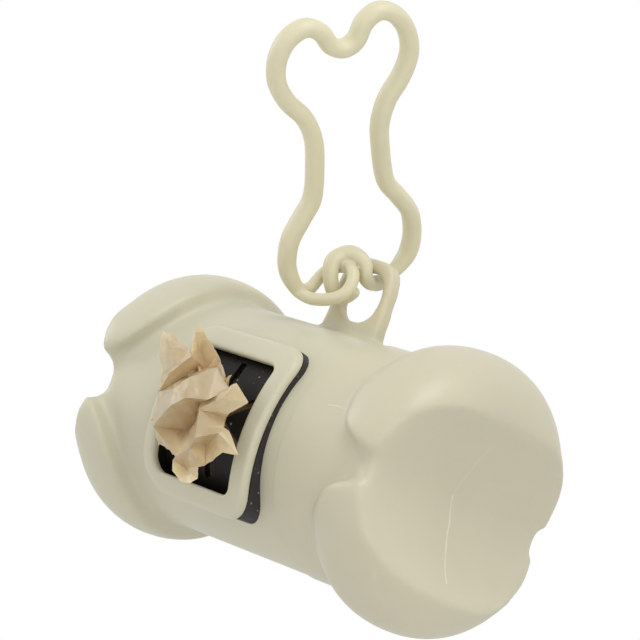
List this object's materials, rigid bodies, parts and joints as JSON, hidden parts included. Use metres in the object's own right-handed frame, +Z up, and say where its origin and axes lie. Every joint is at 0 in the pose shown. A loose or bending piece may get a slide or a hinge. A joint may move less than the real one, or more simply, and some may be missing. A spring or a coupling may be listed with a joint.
{
  "type": "dog waste bag dispenser",
  "caption": "Bone-shaped dispenser for dog waste bags: a hollow tube with a twist-off knuckle cap, a slit window with a bag end showing, and a bone-shaped wire clip.",
  "frame": {"origin": "where a leash sits in the top bow of the clip, at the middle of the wire's inner face", "axes": "+X along the tube from the closed end to the cap, +Z up from the tube to its hanging lug, -Y out of the window"},
  "size_m": [0.0784, 0.0642, 0.0944],
  "materials": {
    "shell_plastic": "satin, cream with a slight green-grey cast",
    "cap_plastic": "satin, slightly warmer cream",
    "frame_plastic": "satin cream",
    "clip_plastic": "satin cream",
    "insert_rubber": "matt black",
    "core_board": "plain brown board",
    "bag_film": "thin translucent tan film"
  },
  "bodies": {
    "clip": {"bone_clip": "clip_plastic"},
    "case": {"body_shell": "shell_plastic", "window_frame": "frame_plastic", "slit_insert": "insert_rubber"},
    "cap": {"end_cap": "cap_plastic"},
    "roll": {"roll_core": "core_board", "bag_roll": "bag_film"},
    "tail": {"bag_tail": "bag_film"}
  },
  "joints": [
    {"name": "case_swing", "type": "hinge", "parent": "clip", "child": "case", "pos_m": [-0.00214, 0.02856, -0.02686], "axis": [1, 0, 0], "range_deg": [0, 60]},
    {"name": "cap_pull", "type": "slide", "parent": "case", "child": "cap", "axis": [1, 0, 0], "range_m": [0, 0.065]},
    {"name": "roll_spin", "type": "hinge", "parent": "case", "child": "roll", "pos_m": [-0.00214, 0.02856, -0.06038], "axis": [-1, 0, 0], "range_deg": [0, 360]},
    {"name": "bag_pull", "type": "slide", "parent": "case", "child": "tail", "axis": [0, -1, 0], "range_m": [0, 0.0974]}
  ],
  "couplings": [
    {"joint": "bag_pull", "follows": "roll_spin", "m_per_rad": 0.0155}
  ]
}
